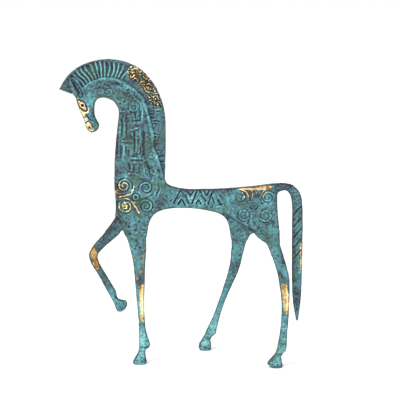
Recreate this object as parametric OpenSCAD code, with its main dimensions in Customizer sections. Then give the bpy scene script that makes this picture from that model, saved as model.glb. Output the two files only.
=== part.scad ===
// Bronze horse statuette, walking, on three hooves.
// Two flat half castings make the face, neck, barrel and rump, and each is
// stepped in around its outer face. They hold a thinner mane crest and the
// tail's tang between them. Four legs are let into the castings with tenons,
// and pinned.
// Millimetres. +Z up, the head towards -X, the tail towards +X. The origin is
// under the middle of the object, level with the soles of the three standing
// hooves, and the two castings meet at y = 0.

/* [Body castings] */
// Thickness of one half casting
body_t = 3.9; // [3.4:0.1:4.6]
// How far the outer face is set in from the outline
edge_round = 0.7; // [0.3:0.1:1.2]
// Depth of the step around the outer face
face_step = 0.9; // [0.5:0.1:1.2]

/* [Mane crest] */
// Full thickness of the crest plate
crest_t = 3.0; // [2.4:0.2:4]

/* [Legs] */
// Distance of the near hind hoof from the middle plane
near_hind_out = 26; // [22:1:30]
// Distance of the near fore hoof from the middle plane
near_fore_out = 15.5; // [14:0.5:20]
// Distance of the far hind hoof from the middle plane
far_hind_out = 26; // [22:1:30]
// Distance of the raised fore hoof from the middle plane
raised_out = 11; // [8:1:16]

/* [Joints] */
// Length of each leg's tenon
tenon_l = 18; // [16:1:19]
// Width of each leg's tenon
tenon_w = 5; // [4.5:0.5:5.5]
// Thickness of each leg's tenon
tenon_t = 2.2; // [1.8:0.1:2.4]
// Diameter of the dowels through the tenons
dowel_d = 2.4; // [1.6:0.2:2.6]
// Diameter of the shanks of the rivets that show
rivet_d = 2.4; // [1.6:0.2:2.8]
// Diameter of the shanks of the crest's rivets
crest_rivet_d = 1.6; // [1:0.2:2]
// Gap left around tenons, tangs and pins
fit_gap = 0.05; // [0.02:0.01:0.1]

/* [Hidden] */
// Spacing of the points along an outline
step = 2.6;
// Sides of a leg's or the tail's section, and the spacing of its rings
sides = 20;
ring_step = 2.6;
// How far each blind dowel goes into the castings, on its own side and beyond
dowel_near = 2.9;
dowel_beyond = 1.6;
dowel_at = 14.5;
// The tail's tang. Its root runs into the tail by tang_seat, and its tip stops
// as far short of the end of its slot
tang_l = 12;
tang_h = 4;
tang_t = 2.4;
tang_seat = 1;
// How far each tenon's root runs into its leg
tenon_root = 2;
// Diameter and height of the rivets' heads
neck_head = [5.6, 0.9];
shoulder_head = [4.6, 1];
rump_head = [4.2, 1];
crest_head = [3, 0.7];
// Sides of a pin and of a head's outline
pin_sides = 48;
dome_sides = 96;
// How far a cut runs past what it cuts, at a middle plane and at an outer face
past_middle = 1;
past_face = 10;
bronze = "#2f7f7c";
bronze_dark = "#3b3550";
bronze_worn = "#a8843c";

// A third value of 1 makes an outline's point a corner.
// The half castings' outline runs anticlockwise, seen from the near side.
// Ridge between neck and crest, from the withers to the forehead
ridge_line = [
    [-12.6, 134.5], [-13.9, 141], [-17, 152], [-20, 158.5], [-19.5, 166], [-20.5, 171.5],
    [-23, 182.5], [-26.5, 194], [-31, 198.5], [-39.5, 205.5], [-46, 208], [-53, 209.5],
    [-59, 208.5], [-66, 206], [-71.5, 201.5], [-76.9, 195.3]];
// Inner edge of the crest's tongue, between the same two points
tongue_line = [
    [-12.6, 134.5], [-17.5, 134.8, 1], [-21, 139.5], [-24.5, 148.5], [-27, 155.5],
    [-27.5, 163], [-28, 171.5], [-29.5, 181], [-31.5, 187.5], [-34.5, 192.5], [-38.5, 196.5],
    [-43.5, 199.5], [-49, 201.3], [-55, 202], [-61, 201.3], [-66, 199], [-70.5, 195.9, 1],
    [-76.9, 195.3]];
// Corners of a field round the whole crest, from the end of the tongue's edge
crest_field = [[-100, 195.3], [-100, 240], [20, 240], [20, 134.5]];
// Face, throat and the front of the neck
face_line = [
    [-76.9, 195.3], [-76.1, 192], [-74.5, 186], [-72.5, 182], [-70, 175.5], [-69, 171.5],
    [-65.5, 168.5], [-61, 170.5], [-60, 174.5], [-61.5, 177], [-63, 180.5], [-63.4, 185],
    [-63, 189.5], [-61.2, 192.8], [-57, 194], [-52.5, 193], [-49, 191], [-46.5, 187],
    [-45.5, 183], [-46.5, 174], [-48, 160.5], [-49, 144.5], [-49.2, 128], [-48.3, 115]];
back_line = [
    [69.8, 112], [69.5, 120], [70, 131.4, 1], [65.5, 130.9], [54, 129.2], [42.5, 128.1],
    [27.5, 127.1], [13, 126.7], [3, 126.8], [-5, 128.3], [-10.5, 130.3], [-12.6, 134.5]];
near_chest = [
    [-49, 106.5, 1], [-45.3, 104], [-44, 100], [-43.2, 96], [-41.8, 92, 1], [-25.3, 92, 1],
    [-24.8, 97.5], [-23.5, 103.3], [-19.7, 109], [-12.5, 112.1], [0.5, 113.3], [13.5, 112.3]];
near_rump = [
    [24.5, 110.1], [31, 108.7], [36, 106.8], [38.5, 104.5], [42.5, 101.3], [47, 99.8],
    [50.5, 98], [52.3, 95], [55, 91.5], [60, 87.5, 1], [72, 87.5, 1], [71.5, 94.5], [70.5, 104]];
far_chest = [
    [-49, 106, 1], [-51, 102.5], [-54.8, 97.8], [-57, 95, 1], [-53.6, 95], [-44.5, 95, 1], [-42.5, 97.8],
    [-39, 98.6], [-32, 100], [-26, 103.3], [-19.7, 109], [-12.5, 112.1], [0.5, 113.3],
    [13.5, 112.3]];
far_rump = [
    [24.5, 109.6], [30.7, 106.3], [33.8, 101], [35.7, 89, 1], [48.6, 89, 1], [49.6, 92.2],
    [52.5, 94.2], [56.5, 94.6], [62, 96], [67, 98], [69.6, 103]];
// Outer arc of the crest, from the withers to the forelock's point and its underside
crest_arc = [
    [-12.3, 134.9, 1], [-12.3, 139], [-12, 146], [-11.8, 160.5], [-11.8, 175.5], [-13, 186],
    [-15.3, 193.5], [-17.9, 199.7], [-20.8, 204.3], [-23.8, 208], [-27, 211.8], [-31.5, 215.3],
    [-38.5, 218.8], [-44.5, 220.6], [-52.5, 221.5], [-59.5, 221], [-66, 219.6], [-72, 217.3],
    [-76.8, 214.5], [-81.6, 210.4], [-85.6, 205], [-88.4, 200, 1], [-82, 197.5],
    [-77.4, 196, 1]];
// Legs, from the joint down: [z, x, share of the way out, half width, half depth]
near_fore_stations = [
    [92, -33.6, 0.00, 7.9, 1.7], [89, -32.9, 0.03, 7.4, 2.2], [84, -32.2, 0.09, 6.3, 2.5],
    [78.5, -31.6, 0.15, 5.3, 2.6], [73, -31.3, 0.22, 4.6, 2.7], [66, -31.0, 0.30, 4, 2.7],
    [57, -30.7, 0.40, 3.5, 2.7], [46, -30.4, 0.52, 2.9, 2.6], [35.5, -29.8, 0.64, 2.5, 2.5],
    [26, -29.1, 0.75, 2.6, 2.5], [19.8, -28.3, 0.82, 3.3, 2.8], [15.5, -27.5, 0.87, 4, 3.1],
    [13.5, -27.3, 0.89, 4.2, 3.2], [11.8, -27.9, 0.91, 3.8, 3.1], [10.4, -29, 0.93, 2.9, 2.9],
    [8, -29.6, 0.95, 2.9, 3], [5, -30.3, 0.98, 4.1, 3.9], [2.2, -30.8, 1, 5.1, 4.7],
    [0.6, -30.9, 1, 5.2, 4.8], [0, -30.9, 1, 4.7, 4.4]];
near_hind_stations = [
    [87.5, 66.3, 0.00, 5.7, 1.9], [84.5, 67.6, 0.05, 5.2, 2.4], [79.5, 69.4, 0.12, 4.6, 2.8],
    [74, 71.3, 0.19, 4.3, 3], [68, 73.1, 0.26, 4.2, 3], [63, 74.3, 0.32, 4.1, 3],
    [57.5, 74.8, 0.39, 3.8, 3], [50.5, 75.3, 0.47, 3.2, 2.8], [41.5, 75.3, 0.57, 2.8, 2.7],
    [33, 74.8, 0.66, 2.7, 2.6], [25, 74, 0.75, 2.8, 2.7], [18.5, 73.2, 0.82, 3.3, 2.9],
    [14, 72.6, 0.87, 3.6, 3], [11.5, 71.9, 0.9, 3.7, 3.1], [9.5, 70.2, 0.92, 3, 3],
    [7.5, 68.8, 0.94, 3.5, 3.3], [5, 67.8, 0.97, 4.9, 4.2], [3, 67.2, 0.99, 5.8, 4.7],
    [1.6, 68, 1, 5.2, 4.8], [0, 69.6, 1, 3, 3.4]];
far_hind_stations = [
    [89, 42.1, 0.00, 6.4, 1.9], [86, 41.6, 0.04, 5.7, 2.3], [80.5, 40.8, 0.11, 4.8, 2.7],
    [74.5, 40, 0.18, 4.3, 2.9], [68, 38.8, 0.26, 4, 2.9], [61, 36.8, 0.34, 3.7, 2.9],
    [53, 34, 0.43, 3.1, 2.8], [45, 31.2, 0.53, 2.6, 2.6], [37, 28.5, 0.62, 2.5, 2.5],
    [29, 26, 0.71, 2.6, 2.5], [21.5, 23.5, 0.79, 3.2, 2.7], [16, 21.7, 0.85, 4, 3],
    [13, 20.9, 0.88, 4.2, 3.1], [10.6, 18.9, 0.91, 3.3, 3], [8, 17.5, 0.94, 3.5, 3.2],
    [5, 17, 0.97, 4.7, 4.2], [2.8, 16.9, 0.99, 5, 4.8], [1.2, 17, 1, 4.8, 4.8],
    [0, 17.2, 1, 3.9, 4]];
raised_stations = [
    [95, -50.7, 0.00, 6.3, 1.6], [92.5, -52.3, 0.05, 6.5, 2], [89, -55.9, 0.12, 5.7, 2.4],
    [85.5, -59.6, 0.2, 5, 2.7], [81.5, -63, 0.28, 4.2, 2.8], [78.5, -65, 0.34, 3.6, 2.8],
    [74.5, -65.5, 0.41, 3.2, 2.8], [70.8, -64.3, 0.47, 3.2, 2.8], [65.4, -61.4, 0.56, 3.1, 2.7],
    [59.2, -57.9, 0.65, 3.1, 2.6], [53, -54.6, 0.74, 3.3, 2.6], [48.3, -52.3, 0.81, 3.3, 2.6],
    [44.6, -51, 0.86, 2.6, 2.5], [42.5, -49.8, 0.9, 2.8, 2.6], [41.4, -46.6, 0.93, 5.2, 3.1],
    [38.5, -45.7, 0.97, 5.1, 3.7], [35.4, -45.9, 1, 3.9, 3.2], [33, -46.6, 1, 2, 2]];
// Tail, from the rump out and down: [x, z, half width, half depth]
tail_stations = [
    [70.2, 127.9, 3.5, 3.9], [72.7, 128.6, 3, 3.6], [75.4, 128.8, 2.7, 3.4],
    [78.8, 127.7, 3, 3.3], [81.5, 124.9, 3.5, 3.3], [83.3, 121, 3.8, 3.3],
    [84.1, 115.5, 3.9, 3.3], [84.4, 104, 4, 3.2], [84.4, 84, 4, 3.1], [84.4, 65, 3.8, 3],
    [84.4, 50, 3.4, 2.8], [84.5, 41, 2.6, 2.3], [84.7, 34, 1.6, 1.6], [84.9, 28.5, 0.6, 0.7]];
// Where the pins stand: [x, z]
neck_rivet_at = [-34.5, 187];
shoulder_rivet_at = [-33.5, 121.5];
rump_rivet_at = [52.5, 115];
tail_pin_at = [62.5, 127.6];
crest_rivets_at = [[-61.5, 204.3], [-43, 203.8], [-26.8, 182.5], [-22.8, 152.5]];
// Leg joints: [x, z, the tenon's lean in degrees]
near_fore_joint = [-33.2, 92, 0];
near_hind_joint = [66.2, 87.5, -20];
far_hind_joint = [42, 89, 20];
raised_joint = [-50.7, 95, 24];

// A smooth curve through points: the direction at a point, and one point between two
function corner(p) = len(p) > 2 && p[2] == 1;
function flat(p) = [p[0], p[1]];
function heading(a, b, c) =
    (flat(c) - flat(a)) / (norm(flat(b) - flat(a)) + norm(flat(c) - flat(b)));
function between(a, b, da, db, t) =
    let(l = norm(flat(b) - flat(a)))
    flat(a) * (2 * pow(t, 3) - 3 * t * t + 1) + l * da * (pow(t, 3) - 2 * t * t + t)
    + flat(b) * (3 * t * t - 2 * pow(t, 3)) + l * db * (pow(t, 3) - t * t);
// The curve's points from the first to just before the last, straight at both ends
function curve(p) =
    let(n = len(p))
    [for (i = [0 : n - 2])
        let(
            a = p[i],
            b = p[i + 1],
            straight = heading(a, a, b),
            da = i == 0 || corner(a) ? straight : heading(p[i - 1], a, b),
            db = i == n - 2 || corner(b) ? straight : heading(a, b, p[i + 2]),
            k = max(1, round(norm(flat(b) - flat(a)) / step)))
        for (j = [0 : k - 1]) between(a, b, da, db, j / k)];
function backwards(p) = [for (i = [len(p) - 1 : -1 : 0]) p[i]];
// A closed anticlockwise curve moved inwards by a distance
function inset(q, d) =
    let(n = len(q))
    [for (i = [0 : n - 1])
        let(v = q[(i + 1) % n] - q[(i + n - 1) % n])
        q[i] + d * [-v[1], v[0]] / norm(v)];
// Values of a table of stations at any place along it, smoothly
function row_at(s, i, t) =
    let(
        n = len(s),
        a = s[max(i - 1, 0)],
        b = s[i],
        c = s[min(i + 1, n - 1)],
        d = s[min(i + 2, n - 1)])
    b + t * (c - a) / 2 + t * t * (a - 2.5 * b + 2 * c - 0.5 * d)
    + pow(t, 3) * (1.5 * (b - c) + 0.5 * (d - a));
function filled(s) =
    [for (i = [0 : len(s) - 2])
        let(k = max(1, round(norm(flat(s[i + 1]) - flat(s[i])) / ring_step)))
        for (j = [0 : k - 1]) row_at(s, i, j / k),
     s[len(s) - 1]];

// Rings of points joined into one closed skin, with flat ends
module skin(rings) {
    n = len(rings[0]);
    m = len(rings);
    polyhedron(
        points = [for (r = rings) each r],
        faces = concat(
            [[for (i = [0 : n - 1]) i]],
            [for (k = [0 : m - 2]) for (i = [0 : n - 1])
                [k * n + i, (k + 1) * n + i, (k + 1) * n + (i + 1) % n, k * n + (i + 1) % n]],
            [[for (i = [n - 1 : -1 : 0]) (m - 1) * n + i]]),
        convexity = 10);
}
// A flat slab of an outline in the x-z plane, from y = -a to y = -b
module slab(outline, a, b) {
    translate([0, -a, 0])
        rotate([90, 0, 0])
            linear_extrude(height = b - a)
                polygon(outline);
}
// Half of the body: flat on y = 0, stepped in around its outer face, and
// rebated beyond the tongue's edge for the crest
module half_casting(chest, rump) {
    q = concat(curve(ridge_line), curve(concat(face_line, chest, rump, back_line)));
    difference() {
        union() {
            slab(q, 0, body_t - face_step);
            slab(inset(q, edge_round), body_t - face_step, body_t);
        }
        slab(concat(curve(tongue_line), crest_field), -past_middle, crest_t / 2);
    }
}
// A leg through its stations; out is the hoof's distance from the middle plane
module leg(stations, out, root_t) {
    skin([for (s = filled(stations))
        let(y = -(root_t + s[2] * (out - root_t)))
        [for (a = [0 : sides - 1])
            let(w = 360 * a / sides)
            [s[1] + s[3] * cos(w), y - s[4] * sin(w), s[0]]]]);
}
// A pin along y through the point [x, z], from y = a to y = b
module pin(at, d, a, b) {
    translate([at[0], b, at[1]])
        rotate([90, 0, 0])
            cylinder(h = b - a, d = d, $fn = pin_sides);
}
// Radius of the sphere that a head of that diameter and height is a cap of
function dome_r(head) = 0.5 * (head[0] * head[0] / 4 + head[1] * head[1]) / head[1];
// A rivet with a domed head on both faces
module rivet(at, d, head) {
    pin(at, d, -body_t, body_t);
    for (side = [-1, 1])
        translate([at[0], side * body_t, at[1]])
            rotate([-90 * side, 0, 0])
                rotate_extrude($fn = pin_sides)
                    intersection() {
                        translate([0, head[1] - dome_r(head)])
                            circle(r = dome_r(head), $fn = dome_sides);
                        square([head[0] / 2, head[1]]);
                    }
}
// A leg's tenon beside the plane y = 0, grown by g on every side, and reaching
// past the plane by a distance
module tenon(joint, g = 0, past = 0) {
    translate([joint[0], 0, joint[1]])
        rotate([0, joint[2], 0])
            translate([-tenon_w / 2 - g, -tenon_t - g, -tenon_root])
                cube([tenon_w + 2 * g, tenon_t + g + past, tenon_l + tenon_root + g]);
}
function dowel_place(joint) =
    [joint[0] + dowel_at * sin(joint[2]), joint[1] + dowel_at * cos(joint[2])];
// A dowel of a near leg, grown by g
module dowel(joint, g = 0) {
    pin(dowel_place(joint), dowel_d + 2 * g, -dowel_near - g, dowel_beyond + g);
}
// The tail's tang, grown by g
module tang(g = 0) {
    translate([tail_stations[0][0] - tang_l - g, -tang_t / 2 - g, tail_pin_at[1] - tang_h / 2 - g])
        cube([tang_l + g, tang_t + 2 * g, tang_h + 2 * g]);
}
// Every bore that both half castings have, as seen on the near side
module shared_bores() {
    for (at = [neck_rivet_at, shoulder_rivet_at, rump_rivet_at])
        pin(at, rivet_d + 2 * fit_gap, -past_face, past_middle);
    for (at = crest_rivets_at)
        pin(at, crest_rivet_d + 2 * fit_gap, -past_face, past_middle);
    pin(tail_pin_at, dowel_d + 2 * fit_gap, -past_face, past_middle);
    tang(fit_gap);
}
module side_body(chest, rump) {
    difference() {
        half_casting(chest, rump);
        shared_bores();
    }
}

module near_side() {
    color(bronze)
        difference() {
            side_body(near_chest, near_rump);
            for (joint = [near_fore_joint, near_hind_joint]) {
                tenon(joint, fit_gap, past_middle);
                dowel(joint, fit_gap);
            }
            mirror([0, 1, 0])
                for (joint = [far_hind_joint, raised_joint])
                    dowel(joint, fit_gap);
        }
}
module far_side() {
    color(bronze)
        mirror([0, 1, 0])
            difference() {
                side_body(far_chest, far_rump);
                for (joint = [far_hind_joint, raised_joint]) {
                    tenon(joint, fit_gap, past_middle);
                    dowel(joint, fit_gap);
                }
                mirror([0, 1, 0])
                    for (joint = [near_fore_joint, near_hind_joint])
                        dowel(joint, fit_gap);
            }
}
module mane_crest() {
    tongue = [for (i = [1 : len(tongue_line) - 2]) tongue_line[i]];
    crest_outline = curve(concat(crest_arc, backwards(tongue), [crest_arc[0]]));
    color(bronze)
        difference() {
            slab(inset(crest_outline, fit_gap), -crest_t / 2, crest_t / 2);
            for (at = crest_rivets_at)
                pin(at, crest_rivet_d + 2 * fit_gap, -crest_t, crest_t);
        }
}
module tail() {
    rows = filled(tail_stations);
    n = len(rows);
    color(bronze)
        difference() {
            union() {
                skin([for (i = [0 : n - 1])
                    let(
                        s = rows[i],
                        v = i == 0 ? [1, 0] : flat(rows[min(i + 1, n - 1)]) - flat(rows[i - 1]),
                        u = [-v[1], v[0]] / norm(v))
                    [for (a = [0 : sides - 1])
                        let(w = 360 * a / sides)
                        [s[0] + u[0] * s[2] * cos(w), -s[3] * sin(w), s[1] + u[1] * s[2] * cos(w)]]]);
                translate([tang_seat, 0, 0])
                    tang();
            }
            pin(tail_pin_at, dowel_d + 2 * fit_gap, -body_t, body_t);
        }
}
// A leg with its tenon, as a near leg
module jointed_leg(stations, out, joint) {
    difference() {
        union() {
            leg(stations, out, body_t / 2);
            tenon(joint);
        }
        dowel(joint, fit_gap);
    }
}
module near_foreleg() {
    color(bronze)
        jointed_leg(near_fore_stations, near_fore_out, near_fore_joint);
}
module near_hind_leg() {
    color(bronze)
        jointed_leg(near_hind_stations, near_hind_out, near_hind_joint);
}
module raised_foreleg() {
    color(bronze)
        mirror([0, 1, 0])
            jointed_leg(raised_stations, raised_out, raised_joint);
}
module far_hind_leg() {
    color(bronze)
        mirror([0, 1, 0])
            jointed_leg(far_hind_stations, far_hind_out, far_hind_joint);
}
module near_foreleg_dowel() {
    color(bronze_dark)
        dowel(near_fore_joint);
}
module near_hind_dowel() {
    color(bronze_dark)
        dowel(near_hind_joint);
}
module raised_foreleg_dowel() {
    color(bronze_dark)
        mirror([0, 1, 0])
            dowel(raised_joint);
}
module far_hind_dowel() {
    color(bronze_dark)
        mirror([0, 1, 0])
            dowel(far_hind_joint);
}
module neck_rivet() {
    color(bronze_worn)
        rivet(neck_rivet_at, rivet_d, neck_head);
}
module shoulder_rivet() {
    color(bronze_worn)
        rivet(shoulder_rivet_at, rivet_d, shoulder_head);
}
module rump_rivet() {
    color(bronze_worn)
        rivet(rump_rivet_at, rivet_d, rump_head);
}
module crest_rivets() {
    color(bronze_worn)
        for (at = crest_rivets_at)
            rivet(at, crest_rivet_d, crest_head);
}
module tail_pin() {
    color(bronze_worn)
        pin(tail_pin_at, dowel_d, -body_t, body_t);
}

near_side();
far_side();
mane_crest();
tail();
near_foreleg();
raised_foreleg();
near_hind_leg();
far_hind_leg();
near_foreleg_dowel();
raised_foreleg_dowel();
near_hind_dowel();
far_hind_dowel();
neck_rivet();
shoulder_rivet();
rump_rivet();
crest_rivets();
tail_pin();
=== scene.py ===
import math

import bmesh
import bpy
import numpy as np
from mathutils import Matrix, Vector, noise
from mathutils.geometry import delaunay_2d_cdt


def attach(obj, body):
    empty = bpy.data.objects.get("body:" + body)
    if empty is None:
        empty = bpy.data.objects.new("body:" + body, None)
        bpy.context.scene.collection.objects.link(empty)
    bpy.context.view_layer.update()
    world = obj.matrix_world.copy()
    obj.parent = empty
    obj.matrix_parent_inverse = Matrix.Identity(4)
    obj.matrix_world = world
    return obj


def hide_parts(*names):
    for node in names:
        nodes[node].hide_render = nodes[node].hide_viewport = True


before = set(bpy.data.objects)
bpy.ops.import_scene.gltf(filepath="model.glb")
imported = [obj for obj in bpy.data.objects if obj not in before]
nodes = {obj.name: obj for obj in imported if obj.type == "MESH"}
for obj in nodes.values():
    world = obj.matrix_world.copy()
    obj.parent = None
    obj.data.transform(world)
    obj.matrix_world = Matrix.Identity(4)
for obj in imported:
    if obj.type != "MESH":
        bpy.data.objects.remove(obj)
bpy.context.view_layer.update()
mm = 0.001


def addPiece(name, mesh):
    piece = bpy.data.objects.new(name, mesh)
    bpy.context.scene.collection.objects.link(piece)
    return piece


def readPoints(mesh):
    found = np.empty(len(mesh.vertices) * 3, np.float32)
    mesh.vertices.foreach_get("co", found)
    return found.reshape(-1, 3).astype(float)


def writePoints(mesh, points):
    mesh.vertices.foreach_set("co", points.astype(np.float32).ravel())
    mesh.update()


def readNormals(mesh):
    found = np.empty(len(mesh.vertices) * 3, np.float32)
    mesh.vertices.foreach_get("normal", found)
    return found.reshape(-1, 3).astype(float)


def readEdges(mesh):
    found = np.empty(len(mesh.edges) * 2, np.int32)
    mesh.edges.foreach_get("vertices", found)
    return found.reshape(-1, 2)


def paint(mesh, name, values):
    layer = mesh.attributes.new(name, "FLOAT", "POINT")
    layer.data.foreach_set("value", np.clip(values, 0, 1).astype(np.float32))


def joined(name, sources):
    # one mesh in millimetres from several metre-scale ones
    bm = bmesh.new()
    for source in sources:
        bm.from_mesh(source)
    bmesh.ops.scale(bm, vec=(1 / mm,) * 3, verts=bm.verts)
    mesh = bpy.data.meshes.new(name)
    bm.to_mesh(mesh)
    bm.free()
    return addPiece(name, mesh)


def recast(piece, grain):
    # an even skin over everything that was joined, grain mm apart
    skin = piece.modifiers.new("recast", "REMESH")
    skin.mode = "VOXEL"
    skin.voxel_size = grain
    graph = bpy.context.evaluated_depsgraph_get()
    mesh = bpy.data.meshes.new_from_object(piece.evaluated_get(graph))
    piece.modifiers.clear()
    piece.data = mesh
    return mesh


def eased(values, edges, rounds, share=0.5):
    # each value moves towards the mean of its neighbours
    a, b = edges.T
    count = np.bincount(edges.ravel(), minlength=len(values))
    flat = values.reshape(len(values), -1)
    for _ in range(rounds):
        total = np.stack([
            np.bincount(a, column[b], len(flat)) + np.bincount(b, column[a], len(flat))
            for column in flat.T], 1)
        flat = flat + share * (total / count[:, None] - flat)
    return flat.reshape(values.shape)


def steps(low, high, values):
    # 0 at low, 1 at high, smooth between
    share = np.clip((values - low) / (high - low), 0, 1)
    return share * share * (3 - 2 * share)


def grainOf(points, size, seed=0.0):
    # soft noise from -1 to 1, in blobs about size mm across
    return np.array([noise.noise((x + seed, y, z)) for x, y, z in (points / size).tolist()])


tolerance = 0.001       # mm, how near a cut's plane a point must be to belong to it


def closeCut(bm, axis, level):
    # fills the openings that a cut across that axis left, and keeps their hollows open
    rim = [
        edge for edge in bm.edges
        if edge.is_boundary and all(abs(corner.co[axis] - level) < tolerance for corner in edge.verts)]
    if not rim:
        return
    corners = list({corner for edge in rim for corner in edge.verts})
    index = {corner: i for i, corner in enumerate(corners)}
    kept = [i for i in range(3) if i != axis]
    flat = np.array([[corner.co[i] for i in kept] for corner in corners])
    lines = np.array([(index[edge.verts[0]], index[edge.verts[1]]) for edge in rim])
    found, _, faces, sources, *_ = delaunay_2d_cdt(
        [Vector(place) for place in flat], lines.tolist(), [], 1, 1e-6)
    middles = np.array([sum((found[i] for i in face), Vector((0, 0))) / 3 for face in faces])
    # a face is inside when a line from its middle crosses the rim an odd number of times
    crossed = np.zeros(len(faces), int)
    for (ax, ay), (bx, by) in zip(flat[lines[:, 0]], flat[lines[:, 1]]):
        hit = (ay > middles[:, 1]) != (by > middles[:, 1])
        if hit.any():
            crossed[hit] += ax + (middles[hit, 1] - ay) / (by - ay) * (bx - ax) > middles[hit, 0]
    added = {}
    for face, count in zip(faces, crossed):
        if count % 2 == 0:
            continue
        loop = []
        for i in face:
            if not sources[i] and i not in added:
                added[i] = bm.verts.new(np.insert(np.array(found[i]), axis, level))
            loop.append(corners[sources[i][0]] if sources[i] else added[i])
        if len(set(loop)) == 3 and not bm.faces.get(loop):
            bm.faces.new(loop)


# Lines of the relief are drawn on the side view, as x and z in mm
def bent(points, closed=False):
    # a smooth line through a few points
    p = [np.array(point, float) for point in points]
    ends = (p[-1], p[0], p[1]) if closed else (2 * p[0] - p[1], 2 * p[-1] - p[-2], None)
    line = [ends[0]] + p + [ends[1]] + ([ends[2]] if closed else [])
    t = np.linspace(0, 1, 6, endpoint=False)[:, None]
    parts = []
    for a, b, c, d in zip(line, line[1:], line[2:], line[3:]):
        parts.append(
            0.5 * (2 * b + (c - a) * t + (2 * a - 5 * b + 4 * c - d) * t ** 2
                   + (3 * b - a - 3 * c + d) * t ** 3))
    return np.vstack(parts + [[line[-2]]])


def coil(x, z, radius, turns, start, hand=1):
    # a spiral that ends at start degrees on its outer radius; hand 1 winds anticlockwise
    turn = np.linspace(0, 1, int(22 * turns) + 1)
    angle = math.radians(start) + hand * 2 * math.pi * turns * (turn - 1)
    out = radius * (0.1 + 0.9 * turn)
    return np.stack([x + out * np.cos(angle), z + out * np.sin(angle)], 1)


def arc(x, z, radius, start, end):
    angle = np.radians(np.linspace(start, end, max(8, int(abs(end - start) / 15))))
    return np.stack([x + radius * np.cos(angle), z + radius * np.sin(angle)], 1)


def distance(places, line):
    best = np.full(len(places), 1e9)
    for start, end in zip(line[:-1], line[1:]):
        along = end - start
        share = np.clip((places - start) @ along / max(along @ along, 1e-9), 0, 1)
        gap = places - start - share[:, None] * along
        best = np.minimum(best, np.hypot(gap[:, 0], gap[:, 1]))
    return best


def draw(layer, places, line, width, height):
    # a round-topped stroke of that full width along the line
    line = np.asarray(line, float)
    low, high = line.min(0) - width, line.max(0) + width
    here = np.flatnonzero(((places > low) & (places < high)).all(1))
    if len(here):
        inside = steps(0, 1, 1 - distance(places[here], line) / (width / 2))
        layer[here] = np.maximum(layer[here], height * inside)


def dot(layer, places, x, z, radius, height):
    draw(layer, places, [(x, z), (x, z + 0.01)], 2 * radius, height)


def drawCoils(raised, sunk, places, part):
    # raised spirals, each with a groove that runs outside its ridge
    for x, z, radius, turns, start, hand in part["coils"]:
        draw(raised, places, coil(x, z, radius, turns, start, hand), *part["strokes"]["coil"])
        draw(sunk, places, coil(x, z, radius + part["grooveOut"], turns, start, hand),
             *part["strokes"]["coilGroove"])


head = {
    "ear": [(-79.6, 208.4), (-77, 202.6), (-72.8, 193.8)],
    "earWidth": 8.2,
    "earHollow": [(-77.8, 204.8), (-76, 201), (-74, 197.4)],
    "earRim": [(-79.2, 207.4), (-76, 204.6), (-73, 200.4), (-71.2, 196), (-72.8, 194), (-75.2, 197),
               (-77.6, 202)],
    "earRise": 4.6,          # from the middle plane to the ear's outside
    "earFoot": 0.6,          # and to its inside
    "earSides": 12,
    "eyeLid": [(-75.2, 191.9), (-71.6, 191.6), (-69, 188.2), (-68.6, 184.6), (-71.6, 185.2),
               (-74.4, 188)],
    "pupil": (-71.6, 188.5),
    "nostril": (-66.8, 172.2),
    "jaw": [(-69, 181.6), (-67, 179), (-65, 177.4)],
    "lips": [(-69.8, 175.6), (-67, 176.8), (-64, 173)],
    "cheek": [(-70.6, 182.6), (-68.4, 183.6), (-65.6, 182.4)],
    "brow": [(-74.8, 207), (-72, 204.4), (-69.4, 201.8), (-66.5, 205.2)],
    "irisRadius": 1.8,
    "nostrilRadius": 2.9,
    "dots": {"pupil": (1.5, 1.6), "nostril": (1.6, 0.9)},      # radius and depth, mm
    "strokes": {                                               # width and height or depth, mm
        "lid": (3.2, 0.5), "lidGroove": (2.5, 1.4), "iris": (1, 0.5), "nostrilRim": (1.2, 0.4),
        "jaw": (2, 0.8), "lips": (1.8, 0.9), "cheek": (1.4, 0.4), "brow": (1.6, 0.55),
        "earHollow": (2.8, 1.2), "earRim": (1.3, 0.7)},
}


def drawHead(raised, sunk, places):
    stroke = head["strokes"]
    draw(raised, places, bent(head["eyeLid"], True), *stroke["lid"])
    draw(sunk, places, bent(head["eyeLid"], True), *stroke["lidGroove"])
    draw(raised, places, arc(*head["pupil"], head["irisRadius"], 0, 360), *stroke["iris"])
    draw(raised, places, arc(*head["nostril"], head["nostrilRadius"], -40, 200), *stroke["nostrilRim"])
    for name in ("pupil", "nostril"):
        dot(sunk, places, *head[name], *head["dots"][name])
    for name in ("jaw", "lips", "earHollow"):
        draw(sunk, places, bent(head[name]), *stroke[name])
    draw(sunk, places, bent(head["earRim"], True), *stroke["earRim"])
    draw(raised, places, bent(head["cheek"]), *stroke["cheek"])
    draw(raised, places, head["brow"], *stroke["brow"])


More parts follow.
